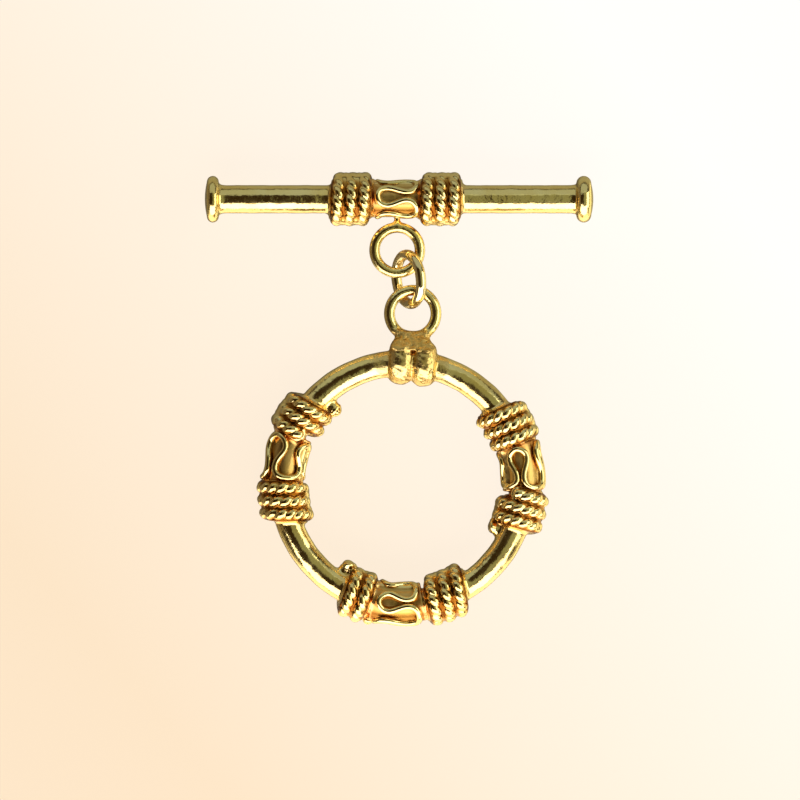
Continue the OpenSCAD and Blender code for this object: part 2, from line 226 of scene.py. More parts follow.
# Stretches with windings: half their length, and how far from the tube's middle they reach
BAR_DRESSED = 5.2
RING_DRESSED = 5.4
DRESSED_R = 2.2
DRESSED_HIGH = 2
COLLAR_REACH = 4

# Places that follow from the sizes
ROPE_D = 2 * STRAND_D
PITCH = ROPE_D + TURN_GAP
BAR_ROPE_R = BAR_TUBE_R + ROPE_CLEAR + ROPE_D / 2
RING_ROPE_R = RING_TUBE_R + ROPE_CLEAR + ROPE_D / 2
BAR_MEANDER_R = BAR_TUBE_R + MEANDER_CLEAR + WIRE_D / 2
RING_MEANDER_R = RING_SLEEVE_R + MEANDER_CLEAR + WIRE_D / 2
MID_Z = BAR_ROPE_R + ROPE_D / 2
RING_R = RING_D / 2 - RING_TUBE_R
LINK_MID_R = (LINK_D - LINK_WIRE) / 2
BAR_LOOP_MID_R = (BAR_LOOP_D - BAR_LOOP_WIRE) / 2
RING_LOOP_MID_R = (RING_LOOP_D - RING_LOOP_WIRE) / 2
BAR_LOOP_DROP = BAR_MEANDER_R + WIRE_D / 2 + BAR_LOOP_GAP + BAR_LOOP_D / 2
LINK_DROP = (BAR_LOOP_DROP + BAR_LOOP_MID_R + LINK_MID_R
             - (BAR_LOOP_WIRE + LINK_WIRE) / 2 - BAR_LOOP_SLACK)
RING_LOOP_DROP = (LINK_DROP + LINK_MID_R + RING_LOOP_MID_R
                  - (RING_LOOP_WIRE + LINK_WIRE) / 2 - RING_LOOP_SLACK)
RING_TOP = 90 + RING_TURN
LOOP_ANGLE = RING_TOP + RING_LOOP_TURN
COLLAR_ANGLE = RING_TOP + COLLAR_TURN
SADDLE_ANGLE = (COLLAR_ANGLE + LOOP_ANGLE) / 2
LOOP_REACH = RING_R + COLLAR_R + RING_LOOP_D / 2 - LOOP_SINK
BAR_Y = (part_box("toggle_bar")[1][1] / MM) - DISC_R
RING_X = RING_LOOP_X - LOOP_REACH * math.cos(LOOP_ANGLE * DEG)
RING_Y = BAR_Y - RING_LOOP_DROP - LOOP_REACH * math.sin(LOOP_ANGLE * DEG)
RIGHT_AT = RING_TOP - SIDE_ANGLE
LEFT_AT = RING_TOP + SIDE_ANGLE
BOTTOM_AT = RING_TOP + 180
STATIONS = (RIGHT_AT, LEFT_AT, BOTTOM_AT)

# Windings: where each one sits (None on the bar), its side of the meander, its first and last
# turn about the tube in degrees, its gap from the meander, its lean and the lift of its last
# end. Between the turns in melt, from its first value to its second, the strands ran together
# when they were soldered.
WINDINGS = {
    "bar_rope_left": dict(at=None, side=-1, turns=(0, 900), gap=0.03, tilt=-4.5, lift=0,
                          melt=(-70, 40)),
    "bar_rope_right": dict(at=None, side=1, turns=(0, 900), gap=-0.14, tilt=-6, lift=0,
                           melt=(-70, 30)),
    "ring_rope_left_upper": dict(at=LEFT_AT, side=-1, turns=(75, 1080), gap=-0.08, tilt=-11,
                                 lift=0.12, melt=(150, 250)),
    "ring_rope_left_lower": dict(at=LEFT_AT, side=1, turns=(0, 900), gap=-0.15, tilt=2.5,
                                 lift=0, melt=(-70, 15)),
    "ring_rope_bottom_left": dict(at=BOTTOM_AT, side=-1, turns=(200, 1080), gap=-0.2, tilt=-9,
                                  lift=0.12, melt=(-70, 10)),
    "ring_rope_bottom_right": dict(at=BOTTOM_AT, side=1, turns=(0, 900), gap=0.22, tilt=2.5,
                                   lift=0, melt=(-70, 20)),
    "ring_rope_right_lower": dict(at=RIGHT_AT, side=-1, turns=(75, 1080), gap=-0.12, tilt=-5.5,
                                  lift=0, melt=(-70, 15)),
    "ring_rope_right_upper": dict(at=RIGHT_AT, side=1, turns=(0, 900), gap=-0.11, tilt=-1.5,
                                  lift=0, melt=(165, 250)),
}

# Meanders: where each one sits, its turn about the tube and the shaping of its lobes
MEANDERS = {
    "bar_meander": dict(at=None, turn=90 / LOBES, bias=0, drift=BAR_DRIFT, spread=0),
    "ring_meander_left": dict(at=LEFT_AT, turn=80, bias=BIAS, drift=0, spread=LEFT_SPREAD),
    "ring_meander_bottom": dict(at=BOTTOM_AT, turn=26, bias=BIAS, drift=0, spread=0),
    "ring_meander_right": dict(at=RIGHT_AT, turn=76, bias=-BIAS, drift=0, spread=0),
}

# Grids of the skins: cell sizes, room round a node's box, cells in a block, and how near the
# surface, in blocks, a block is filled in finely
BAR_CELL = 0.074
RING_CELL = 0.081
ROPE_CELL = 0.05
BODY_ROOM = 0.5
ROPE_ROOM = 0.15
BLOCK = 4
NEAR_BLOCKS = 1.5
BLOCKS_AT_ONCE = 1500
POINTS_AT_ONCE = 20000
CORNERS = [(a, b, c) for a in (0, 1) for b in (0, 1) for c in (0, 1)]

# Moving the skins' points onto the surface: rounds, probe for the slope, least squared slope
# and the longest move in cells
SETTLE_ROUNDS = 4
PROBE = 0.002
LEAST_SLOPE = 0.05
LONGEST_MOVE = 0.5


# Small helpers

def unit(v):
    return v / np.linalg.norm(v, axis=-1, keepdims=True)


def wobble(along, seed, size, lengths):
    """A smooth seeded waviness along a wire, made of a few sine waves."""
    draw = np.random.default_rng(seed)
    total = np.zeros_like(along)
    for length in lengths:
        wave = np.sin(2 * math.pi * (along / length + draw.random()))
        total += wave * (WAVE_LEAST + WAVE_MORE * draw.random())
    return size * total / len(lengths)


def waviness(waves, along, across, up):
    """The slight unevenness of a hand-finished tube."""
    return sum(size * np.sin(a * along + b * across + c * up + phase)
               for size, a, b, c, phase in waves)


def lumps(p, seed, size, lengths):
    """Rounded lumps of hand-worked solder: seeded sine waves in several directions."""
    draw = np.random.default_rng(seed)
    ways = 3
    total = np.zeros(len(p))
    for length in lengths:
        for _ in range(ways):
            way = unit(draw.normal(size=3))
            total += np.sin(2 * math.pi * (p @ way / length + draw.random()))
    return size * total / (ways * len(lengths)) ** 0.5


def smooth_min(a, b, k):
    h = np.clip(0.5 + 0.5 * (b - a) / k, 0, 1)
    return b + (a - b) * h - k * h * (1 - h)


def smooth_max(a, b, k):
    return -smooth_min(-a, -b, k)


def step_up(x, low, high):
    """0 below low, 1 above high and a smooth rise between."""
    t = np.clip((x - low) / (high - low), 0, 1)
    return t * t * (3 - 2 * t)


# Frames beside a tube: +X away from the ring's middle, +Y along the tube, +Z up

def bent(points, bend_r):
    """Points beside a straight tube, carried to a tube that is bent to a ring."""
    if bend_r == 0:
        return points
    a = points[:, 1] / bend_r
    reach = bend_r + points[:, 0]
    return np.stack([reach * np.cos(a) - bend_r, reach * np.sin(a), points[:, 2]], -1)


def on_bar(points):
    return np.stack([TRIM_X + points[:, 1], BAR_Y - points[:, 0], MID_Z + points[:, 2]], -1)


def on_ring(points, angle):
    c, s = math.cos(angle * DEG), math.sin(angle * DEG)
    x, y = points[:, 0] + RING_R, points[:, 1]
    return np.stack([RING_X + x * c - y * s, RING_Y + x * s + y * c, MID_Z + points[:, 2]], -1)


def to_station(points, at):
    return on_bar(points) if at is None else on_ring(points, at)


def ring_frame(p, angle):
    """Coordinates about a place on the ring: outwards from the tube's middle, along, up."""
    c, s = math.cos(angle * DEG), math.sin(angle * DEG)
    x, y, z = (p - np.array([RING_X, RING_Y, MID_Z])).T
    return x * c + y * s - RING_R, -x * s + y * c, z


def ring_distance(angle, station):
    """How far along the ring, from 0 up, an angle in degrees is from a station."""
    return np.abs((angle - station + 180) % 360 - 180) * DEG * RING_R


# Meshes

def make_object(name, points, faces, node, material, values=None):
    """A mesh in metres that stands for a node of the frame, with its values per point."""
    mesh = bpy.data.meshes.new(name)
    inside = np.clip(np.asarray(points) * MM, LOW_CORNER, HIGH_CORNER)
    mesh.from_pydata(inside.tolist(), [], faces)
    mesh.validate()
    mesh.shade_smooth()
    for key, data in (values or {}).items():
        layer = mesh.attributes.new(key, "FLOAT", "POINT")
        layer.data.foreach_set("value", np.asarray(data, dtype=np.float32))
    mesh.materials.append(material)
    obj = bpy.data.objects.new(name, mesh)
    bpy.context.scene.collection.objects.link(obj)
    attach(obj, "root")
    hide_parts(node)
    return obj


def sweep(path, out, radius, sides):
    """A round skin over a closed path, as points and four-sided faces."""
    n = len(path)
    tangent = unit(np.roll(path, -1, 0) - np.roll(path, 1, 0))
    out = unit(out - tangent * (out * tangent).sum(1, keepdims=True))
    side = np.cross(tangent, out)
    turn = 2 * math.pi * np.arange(sides) / sides
    ring = (np.cos(turn)[None, :, None] * out[:, None, :]
            + np.sin(turn)[None, :, None] * side[:, None, :])
    points = (path[:, None, :] + radius[:, None, None] * ring).reshape(-1, 3)
    faces = []
    for i in range(n):
        a, b = i * sides, ((i + 1) % n) * sides
        faces += [(a + j, a + (j + 1) % sides, b + (j + 1) % sides, b + j) for j in range(sides)]
    return points, faces


# Solid fields: the distance to a form, less than zero inside it

def band(rho, s, radius, half, rounding):
    """A round band about a tube: rho from the tube's middle, s along it."""
    a = rho - (radius - rounding)
    b = np.abs(s) - (half - rounding)
    outside = np.hypot(np.maximum(a, 0), np.maximum(b, 0))
    return outside + np.minimum(np.maximum(a, b), 0) - rounding


def wire_circle(p, centre, mid_r, wire_r):
    x, y, z = (p - np.array(centre)).T
    return np.hypot(np.hypot(x, y) - mid_r, z) - wire_r


# Twisted ropes

def winding_offset(w):
    """How far along the tube a winding's middle is from its station."""
    run = PITCH * (w["turns"][1] - w["turns"][0]) / 360
    return w["side"] * ((MEANDER_LEN + run + ROPE_D) / 2 + w["gap"])


def winding_frame(p, w):
    """Points of the part in a winding's own frame, with the ring's middle at -RING_R."""
    if w["at"] is None:
        x, y, z = (p - np.array([TRIM_X + winding_offset(w), BAR_Y, MID_Z])).T
        return -y, x, z
    return ring_frame(p, w["at"] + winding_offset(w) / RING_R / DEG)


def winding_turns(p, w):
    """For each turn of a winding, the points' coordinates about its rope: away from the tube,
    towards +Y along it, the turn about the tube, and the length beyond the rope's ends."""
    x, y, z = winding_frame(p, w)
    straight = w["at"] is None
    mid_r = BAR_ROPE_R if straight else RING_ROPE_R
    first, last = w["turns"]
    for k in range(math.floor(first / 360), math.floor(last / 360) + 1):
        centre_x = 0
        low = max(first, 360 * k - TURN_OVERLAP)
        high = min(last, 360 * (k + 1) + TURN_OVERLAP)
        for _ in range(BEND_ROUNDS):
            t = np.arctan2(z, -(x - centre_x)) / DEG % 360 + 360 * k
            held = np.clip(t, low, high)
            run = PITCH * ((first + last) / 2 - held) / 360
            centre_x = 0 if straight else RING_R * (np.cos(run / RING_R) - 1)
        run = run if straight else RING_R * np.sin(run / RING_R)
        r = mid_r + w["lift"] * np.maximum(0, 1 - (last - held) / END_LIFT_ANGLE) ** 2
        rho = np.hypot(x - centre_x, z)
        lean = mid_r * np.cos(held * DEG) * math.tan(w["tilt"] * DEG)
        over = np.abs(t - held) * DEG * mid_r
        yield rho - r, y - run - lean, held, over


def melted(w, t):
    """How far the strands ran together at turn t, from 0 to 1."""
    low, high = w["melt"]
    half = (high - low) / 2
    off = np.abs((t - (low + high) / 2 + 180) % 360 - 180)
    share = 1 - step_up(off, half - MELT_EDGE, half + MELT_EDGE)
    outer = BAR_OUTER_MELT if w["at"] is None else RING_OUTER_MELT
    return np.maximum(share, outer * step_up(-np.cos(t * DEG), *OUTER_MELT_EDGE))


def shoulder_drop(w, t, b):
    """How far the outermost turns of a winding round off towards its ends."""
    first, last = w["turns"]
    above = PITCH * ((t - first) // 360) + ROPE_D / 2 - b
    below = PITCH * ((last - t) // 360) + ROPE_D / 2 + b
    corner = np.clip(SHOULDER_R - np.minimum(above, below), 0, SHOULDER_R)
    return SHOULDER_R - np.sqrt(SHOULDER_R ** 2 - corner ** 2)


def rope_field(p, w):
    """Two strands twisted round each other and wound round the tube. Neighbouring strands
    and turns flow together a little, and more so where they melted."""
    mid_r = BAR_ROPE_R if w["at"] is None else RING_ROPE_R
    first, last = w["turns"]
    length = (last - first) / 360 * math.hypot(2 * math.pi * mid_r, PITCH)
    seed = ROPE_SEED + int(10 * w["gap"] + w["tilt"] * 7)
    total = None
    for a, b, t, over in winding_turns(p, w):
        along = (t - first) / (last - first) * length
        shoulder = shoulder_drop(w, t, b)
        a = a - wobble(along, seed, *OUTWARD_WAVE)
        b = b - wobble(along, seed + 1, *SIDEWAYS_WAVE)
        melt = MELT_MOST * melted(w, t)
        fill_top = ROW_FILL + (MELT_FILL - shoulder) * melt
        if w["lift"]:
            melt = np.maximum(melt, step_up(along, length - BEAD_START, length - BEAD_FULL))
        full = STRAND_FULL_R + MELT_SWELL * melt
        spread = ROPE_D / 2 - full
        twist = -2 * math.pi * along / STRAND_LAY + wobble(along, seed + 2, *TWIST_WAVE)
        section = np.hypot(a, b)
        phi = np.arctan2(-b, a)
        slope = 2 * math.pi * np.sqrt(section * spread) / STRAND_LAY
        squeeze = 1 / (1 + slope ** 2)
        strands = []
        for half_turn in (0, math.pi):
            chord = 4 * section * spread * np.sin((phi - twist - half_turn) / 2) ** 2
            strands.append(np.sqrt((section - spread) ** 2 + chord * squeeze + over ** 2) - full)
        rope = smooth_min(*strands, STRAND_BLEND[0] + STRAND_BLEND[1] * melt)
        fill = band(a + ROPE_D, np.hypot(b, over), ROPE_D + fill_top,
                    PITCH / 2 + FILL_OVERLAP, FILL_ROUND)
        rope = smooth_min(rope, np.maximum(fill, -a - ROPE_D / 2),
                          FILL_BLEND[0] + FILL_BLEND[1] * melt)
        if total is None:
            total = rope
        else:
            total = smooth_min(total, rope, TURN_BLEND[0] + TURN_BLEND[1] * melt)
    return total


def recess_depth(points, w):
    """How far points of a winding lie below its outside, from 0 to 1."""
    depth = np.full(len(points), 1.0)
    nearest = np.full(len(points), np.inf)
    for a, b, _, over in winding_turns(points, w):
        reach = np.hypot(b, over)
        closer = reach < nearest
        sunk = (ROPE_D / 2 - a) / ROPE_D * (1 - step_up(over, 0, END_FADE))
        depth[closer] = sunk[closer]
        nearest[closer] = reach[closer]
    return np.clip(depth, 0, 1)


def winding_bed(p, w, tube_r):
    """The solder that a winding is bedded in, up to the middle of its rope."""
    total = None
    for a, b, _, over in winding_turns(p, w):
        rho = a + tube_r + ROPE_CLEAR + ROPE_D / 2
        bed = band(rho, np.hypot(b, over), tube_r + BED_RISE, PITCH / 2 + BED_OVERLAP, BED_ROUND)
        total = bed if total is None else smooth_min(total, bed, BED_ROUND)
    return total


# Meander wires

def meander_period():
    """One period of a wire whose heading swings like a cosine along its length."""
    i = np.arange(LOBE_STEPS) + 0.5
    heading = SWING * np.cos(2 * math.pi * i / LOBE_STEPS) * DEG
    strides = np.stack([np.cos(heading), np.sin(heading)], -1)
    path = np.concatenate([[[0, 0]], np.cumsum(strides, 0)])
    high = path[LOBE_STEPS // 4, 1] - path[3 * LOBE_STEPS // 4, 1]
    return path[:, 0] / path[-1, 0], path[:, 1] / high


def meander_path(m):
    """The closed middle line of a meander and the direction away from its tube, both beside
    the tube at its station."""
    straight = m["at"] is None
    mid_r = BAR_MEANDER_R if straight else RING_MEANDER_R
    bend_r = 0 if straight else RING_R
    across, up = meander_period()
    lobe = np.repeat(np.arange(LOBES), LOBE_STEPS)
    even = m["turn"] + (lobe + np.tile(across[:-1], LOBES)) * 360 / LOBES
    around = (even - m["bias"] * np.cos(LOBES * (even - m["turn"]) * DEG)
              + m["drift"] * np.sin(even * DEG) - m["spread"] * np.cos(even * DEG))
    along = np.tile(up[:-1], LOBES) * (MEANDER_LEN - WIRE_D)
    flat = np.stack([mid_r * np.cos(around * DEG), along, mid_r * np.sin(around * DEG)], -1)
    foot = np.stack([0 * along, along, 0 * along], -1)
    path = bent(flat, bend_r)
    return path, unit(path - bent(foot, bend_r))


def meander(name, m, material):
    path, away = meander_path(m)
    share = np.arange(len(path)) / len(path)
    radius = WIRE_D / 2 * WIRE_FULL + WIRE_WAVE * np.sin(2 * math.pi * WIRE_WAVES * share)
    points, faces = sweep(path, away, radius, WIRE_SIDES)
    make_object(name + "_wire", to_station(points, m["at"]), faces, name,
                material)


def wire_bed(p, m):
    """A meander's wire as the core of its solder, worked out only near it."""
    path = to_station(meander_path(m)[0], m["at"])
    low, high = path.min(0) - WIRE_BED_REACH, path.max(0) + WIRE_BED_REACH
    inside = np.all((p > low) & (p < high), axis=1)
    d = np.full(len(p), WIRE_BED_REACH)
    index = np.nonzero(inside)[0]
    for part in np.array_split(index, max(1, len(index) // POINTS_AT_ONCE)):
        if len(part):
            gap = ((p[part][:, None, :] - path[None, :, :]) ** 2).sum(-1).min(1)
            d[part] = np.sqrt(gap) - WIRE_BED_R
    return d


# The link

def link_ring(material):
    """The loose link, a round wire closed to a ring."""
    t = 2 * math.pi * np.arange(LINK_STEPS) / LINK_STEPS
    flat = np.stack([np.cos(t), np.sin(t), 0 * t], -1)
    lean, turn = LINK_LEAN * DEG, LINK_TURN * DEG
    tip = np.array([[math.cos(lean), 0, -math.sin(lean)], [0, 1, 0],
                    [math.sin(lean), 0, math.cos(lean)]])
    spin = np.array([[math.cos(turn), -math.sin(turn), 0], [math.sin(turn), math.cos(turn), 0],
                     [0, 0, 1]])
    spoke = flat @ (spin @ tip).T
    rise = LINK_MID_R * math.sin(lean) + LINK_WIRE / 2
    centre = np.array([LINK_X, BAR_Y - LINK_DROP, rise])
    waves = sum(size * np.sin(count * t + phase) for size, count, phase in LINK_WAVES)
    radius = np.minimum(LINK_WIRE / 2 * LINK_FULL + waves, LINK_WIRE / 2)
    points, faces = sweep(centre + LINK_MID_R * spoke, spoke, radius, LINK_SIDES)
    make_object("link_wire", points, faces, "link", material)


# The toggle bar and the clasp ring

def sleeve_field(rho, s, around, radius, fills):
    """The sleeve under a meander with the solder that fills it up at its two sides. around
    is 1 at the inner side of the tube and -1 at its outer side."""
    inner, outer = fills
    fill = (inner * step_up(around, *INNER_FILL_EDGE)
            + outer * step_up(-around, *OUTER_FILL_EDGE))
    return band(rho, s, radius + fill, MEANDER_LEN / 2 + SLEEVE_OVER, SLEEVE_ROUND)


def add_dressing(d, p, at, tube_r):
    """A field with the solder of the windings and the meander at a station added to it."""
    for w in WINDINGS.values():
        if w["at"] == at:
            d = smooth_min(d, winding_bed(p, w, tube_r), BED_BLEND)
    for m in MEANDERS.values():
        if m["at"] == at:
            d = smooth_min(d, wire_bed(p, m), WIRE_BED_BLEND)
    return d


def disc_field(rho, x, disc_t, flare_len):
    """One end of the bar at a distance x from its middle: flare, round rim and domed face."""
    face = BAR_LENGTH / 2 - DISC_DOME
    rim = disc_t / 2
    rise = np.clip((x - face + disc_t + flare_len) / flare_len, 0, 1)
    profile = BAR_TUBE_R + (DISC_R - rim - BAR_TUBE_R) * (1 - np.sqrt(1 - rise ** 2))
    flare = np.maximum(rho - profile, np.abs(x - face / 2) - face / 2 + rim)
    ball = np.hypot(np.maximum(rho - (DISC_R - rim), 0), x - (face - rim)) - rim
    bulge = DISC_DOME * np.clip(1 - (rho / (DISC_R - rim)) ** 2, 0, 1)
    dome = np.maximum(np.maximum(x - face - bulge, rho - (DISC_R - rim)), face - rim - x)
    return smooth_min(np.minimum(ball, dome), flare, FLARE_BLEND)


def bar_field(p):
    x, y, z = (p - np.array([0, BAR_Y, MID_Z])).T
    rho = np.hypot(y, z)
    tube = rho - BAR_TUBE_R - waviness(BAR_WAVES, x, y, z)
    d = np.maximum(tube, np.abs(x) - BAR_LENGTH / 2 + 2 * DISC_DOME)
    d = smooth_min(d, disc_field(rho, x, RIGHT_DISC_T, RIGHT_FLARE_LEN), DISC_BLEND)
    d = smooth_min(d, disc_field(rho, -x, LEFT_DISC_T, LEFT_FLARE_LEN), DISC_BLEND)
    dressed = ((np.abs(x - TRIM_X) < BAR_DRESSED) & (np.abs(z) < DRESSED_HIGH)
               & (np.abs(y) < DRESSED_R))
    near = np.nonzero(dressed)[0]
    around = y[near] / np.maximum(rho[near], TINY)
    sleeve = sleeve_field(rho[near], x[near] - TRIM_X, around, BAR_SLEEVE_R, BAR_SLEEVE_FILL)
    part = smooth_min(d[near], sleeve, SLEEVE_BLEND)
    d[near] = add_dressing(part, p[near], None, BAR_TUBE_R)
    drop = -y
    neck = np.maximum(np.hypot(x - TRIM_X, z) - NECK_R,
                      np.maximum(-drop, drop - (BAR_LOOP_DROP - BAR_LOOP_MID_R)))
    loop = wire_circle(p, (TRIM_X, BAR_Y - BAR_LOOP_DROP, MID_Z), BAR_LOOP_MID_R,
                       BAR_LOOP_WIRE / 2)
    return smooth_min(smooth_min(d, neck, NECK_BLEND), loop, BAR_LOOP_BLEND)


def saddle_field(u, v, w):
    """The solder between the collar and the ring's loop: u outwards, v across, w up."""
    foot = RING_TUBE_R
    tip = COLLAR_R - LOOP_SINK + RING_LOOP_WIRE
    share = np.clip((u - foot) / (tip - foot), 0, 1)
    foot_half = STRAP_W - SADDLE_INSET
    tip_half = RING_LOOP_MID_R * SADDLE_SHARE
    half = tip_half + (foot_half - tip_half) * (1 + np.cos(math.pi * share)) / 2
    high = math.sqrt(COLLAR_R ** 2 - foot ** 2) + SADDLE_RISE
    thick = SADDLE_TIP / 2 + (high - SADDLE_TIP / 2) * (1 - share) ** SADDLE_POWER
    worked = lumps(np.stack([u, v, w], -1), *SADDLE_LUMPS)
    dip = SADDLE_DIP * np.exp(-(v / SADDLE_DIP_HALF) ** 2) * (1 - share)
    d = smooth_max(np.abs(v) - half - worked / 2, np.abs(w) - thick - worked + dip, SADDLE_EDGE)
    return smooth_max(d, np.maximum(u - tip, foot - u), SADDLE_END)


def collar_field(p):
    """Two half-round straps side by side, pressed round the ring."""
    u, v, w = ring_frame(p, COLLAR_ANGLE)
    rho = np.hypot(u, w)
    off = np.abs(np.abs(v) - STRAP_W / 2) / (STRAP_W / 2)
    crown = COLLAR_R - STRAP_FALL * np.minimum(off, STRAP_FALL_MOST) ** STRAP_POWER
    worked = lumps(p, *COLLAR_LUMPS)
    return smooth_max(rho - crown - worked, np.abs(v) - STRAP_W - worked, STRAP_BLEND)


def ring_field(p):
    x, y, z = (p - np.array([RING_X, RING_Y, MID_Z])).T
    q = np.hypot(x, y) - RING_R
    rho = np.hypot(q, z)
    angle = np.arctan2(y, x)
    d = rho - RING_TUBE_R - waviness(RING_WAVES, angle, q, z)

    def along(station):
        turn = angle - station * DEG
        return (turn - 2 * math.pi * np.round(turn / (2 * math.pi))) * RING_R

    for station in STATIONS:
        s = along(station)
        near = np.nonzero((np.abs(s) < RING_DRESSED) & (rho < DRESSED_R))[0]
        around = -q[near] / np.maximum(rho[near], TINY)
        sleeve = sleeve_field(rho[near], s[near], around, RING_SLEEVE_R, RING_SLEEVE_FILL)
        part = smooth_min(d[near], sleeve, SLEEVE_BLEND)
        d[near] = add_dressing(part, p[near], station, RING_TUBE_R)
    near = np.nonzero((np.abs(along(LOOP_ANGLE)) < COLLAR_REACH) & (y > 0))[0]
    top = p[near]
    part = smooth_min(d[near], collar_field(top), COLLAR_BLEND)
    part = smooth_min(part, saddle_field(*ring_frame(top, SADDLE_ANGLE)), SADDLE_BLEND)
    loop_at = (RING_X + LOOP_REACH * math.cos(LOOP_ANGLE * DEG),
               RING_Y + LOOP_REACH * math.sin(LOOP_ANGLE * DEG), MID_Z)
    loop = wire_circle(top, loop_at, RING_LOOP_MID_R, RING_LOOP_WIRE / 2)
    d[near] = smooth_min(part, loop, RING_LOOP_BLEND)
    return d


# Skins: a face round each grid edge that a field's zero surface crosses

def sampled(field, low, blocks, cell):
    """A field's values over a grid, finely near its surface and coarsely elsewhere."""
    counts = [BLOCK * n + 1 for n in blocks]
    coarse = np.stack(np.meshgrid(*[np.arange(n + 1) for n in blocks], indexing="ij"), -1)
    rough = field(low + BLOCK * cell * coarse.reshape(-1, 3)).reshape(coarse.shape[:3])
    values = np.repeat(np.repeat(np.repeat(rough, BLOCK, 0), BLOCK, 1), BLOCK, 2)
    values = values[:counts[0], :counts[1], :counts[2]].astype(np.float32)
    close = np.abs(rough) < NEAR_BLOCKS * BLOCK * cell * math.sqrt(3)
    near = np.zeros(blocks, dtype=bool)
    for a, b, c in CORNERS:
        near |= close[a:blocks[0] + a, b:blocks[1] + b, c:blocks[2] + c]
    steps = np.stack(np.meshgrid(*[np.arange(BLOCK + 1)] * 3, indexing="ij"), -1).reshape(-1, 3)
    found = np.argwhere(near)
    for part in np.array_split(found, max(1, len(found) // BLOCKS_AT_ONCE)):
        index = (BLOCK * part[:, None, :] + steps[None]).reshape(-1, 3)
        values[tuple(index.T)] = field(low + cell * index)
    return values


def cut_cells(values):
    """The grid's cells that the surface passes through, and the number of each one there."""
    nx, ny, nz = (n - 1 for n in values.shape)
    inside = sum((values[a:nx + a, b:ny + b, c:nz + c] < 0).astype(np.int8)
                 for a, b, c in CORNERS)
    cells = np.argwhere((inside > 0) & (inside < len(CORNERS)))
    number = np.full((nx, ny, nz), -1, dtype=np.int64)
    number[tuple(cells.T)] = np.arange(len(cells))
    return cells, number


def crossing_means(values, cells):
    """For each cut cell, the mean of the places where its edges cross the surface."""
    total = np.zeros((len(cells), 3))
    hits = np.zeros(len(cells))
    for a in CORNERS:
        for axis in range(3):
            if a[axis]:
                continue
            b = tuple(1 if k == axis else a[k] for k in range(3))
            va = values[tuple((cells + a).T)]
            vb = values[tuple((cells + b).T)]
            cross = (va < 0) != (vb < 0)
            share = va / np.where(cross, va - vb, 1)
            place = np.array(a) + share[:, None] * (np.array(b) - np.array(a))
            total[cross] += place[cross]
            hits[cross] += 1
    return cells + total / hits[:, None]


def crossing_faces(values, number):
    """A four-sided face through the cells round each edge that crosses the surface."""
    faces = []
    for axis in range(3):
        e, f = (axis + 1) % 3, (axis + 2) % 3
        shift = np.zeros(3, dtype=int)
        shift[axis] = 1
        first = values[tuple(slice(0, n - s) for n, s in zip(values.shape, shift))]
        second = values[tuple(slice(s, n) for n, s in zip(values.shape, shift))]
        edge = np.argwhere((first < 0) != (second < 0))
        edge = edge[(edge[:, e] > 0) & (edge[:, f] > 0)]
        edge = edge[(edge[:, e] < number.shape[e]) & (edge[:, f] < number.shape[f])]
        leaves = first[tuple(edge.T)] < 0
        quad = []
        for de, df in ((1, 1), (0, 1), (0, 0), (1, 0)):
            at = edge.copy()
            at[:, e] -= de
            at[:, f] -= df
            quad.append(number[tuple(at.T)])
        quad = np.stack(quad, -1)
        quad[~leaves] = quad[~leaves][:, ::-1]
        faces.append(quad)
    return np.concatenate(faces).tolist()


def settled(points, field, cell):
    """Points moved down a field's slope onto its zero surface."""
    for _ in range(SETTLE_ROUNDS):
        value = field(points)
        slope = np.stack([field(points + PROBE * way) - value for way in np.eye(3)], -1) / PROBE
        steep = np.maximum((slope ** 2).sum(1), LEAST_SLOPE)
        push = -(value / steep)[:, None] * slope
        over = np.linalg.norm(push, axis=1, keepdims=True) / (LONGEST_MOVE * cell)
        points = points + push / np.maximum(over, 1)
    return points


def field_skin(field, node, room, cell):
    """The zero surface of a field round a node's box, as points and four-sided faces."""
    low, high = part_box(node)
    low = np.array([c / MM - room for c in low])
    high = [c / MM + room for c in high]
    blocks = [int(math.ceil((b - a) / (BLOCK * cell))) for a, b in zip(low, high)]
    values = sampled(field, low, blocks, cell)
    cells, number = cut_cells(values)
    points = low + cell * crossing_means(values, cells)
    return settled(points, field, cell), crossing_faces(values, number)


# What the gold reads at each point of a mesh

# Painted orange reflection, warm bounce light painted on the solder: beside the sleeves' ends,
# and less of it beyond the windings. Each edge is where a change starts and where it is
# complete.
REFLECTION_OFF = 0.1
REFLECTION_EDGE = (0.15, 0.55)
FAR_PAINTED_REFLECTION = 0.55
FAR_REFLECTION_EDGE = (0.1, 0.6)
BAR_REFLECTION_R = 1.9

# Rough solder: outwards and sideways on the saddle, and about the collar's middle
SADDLE_FOOT_EDGE = (0.3, 1.1)
SADDLE_TIP_EDGE = (1.9, 2.3)
SADDLE_SIDE_EDGE = (1.5, 1.9)
COLLAR_WORKED = 0.35
COLLAR_EDGE = (1.4, 1.8)
COLLAR_STRETCH = 0.6

# Bare sleeves: how they end along the tube and away from it, and what faces the front
SLEEVE_FADE = 0.2
RING_SLEEVE_EDGE = (1.15, 1.3)
BAR_SLEEVE_EDGE = (1.06, 1.2)
FRONT_EDGE = (0.4, 0.8)

# Tarnish on the collar and painted shade on the sleeves, with more painted shade on their front:
# their shares, where the tarnish comes in on the collar, and how dull it makes a recess
COLLAR_TARNISH = 0.18
COLLAR_TARNISH_EDGE = (0.1, 0.4)
SLEEVE_PAINTED_SHADE = 0.20
FRONT_PAINTED_SHADE = 0.09
RECESS_DULL = 0.7
ROPE_DULL_EDGE = (0.22, 0.45)


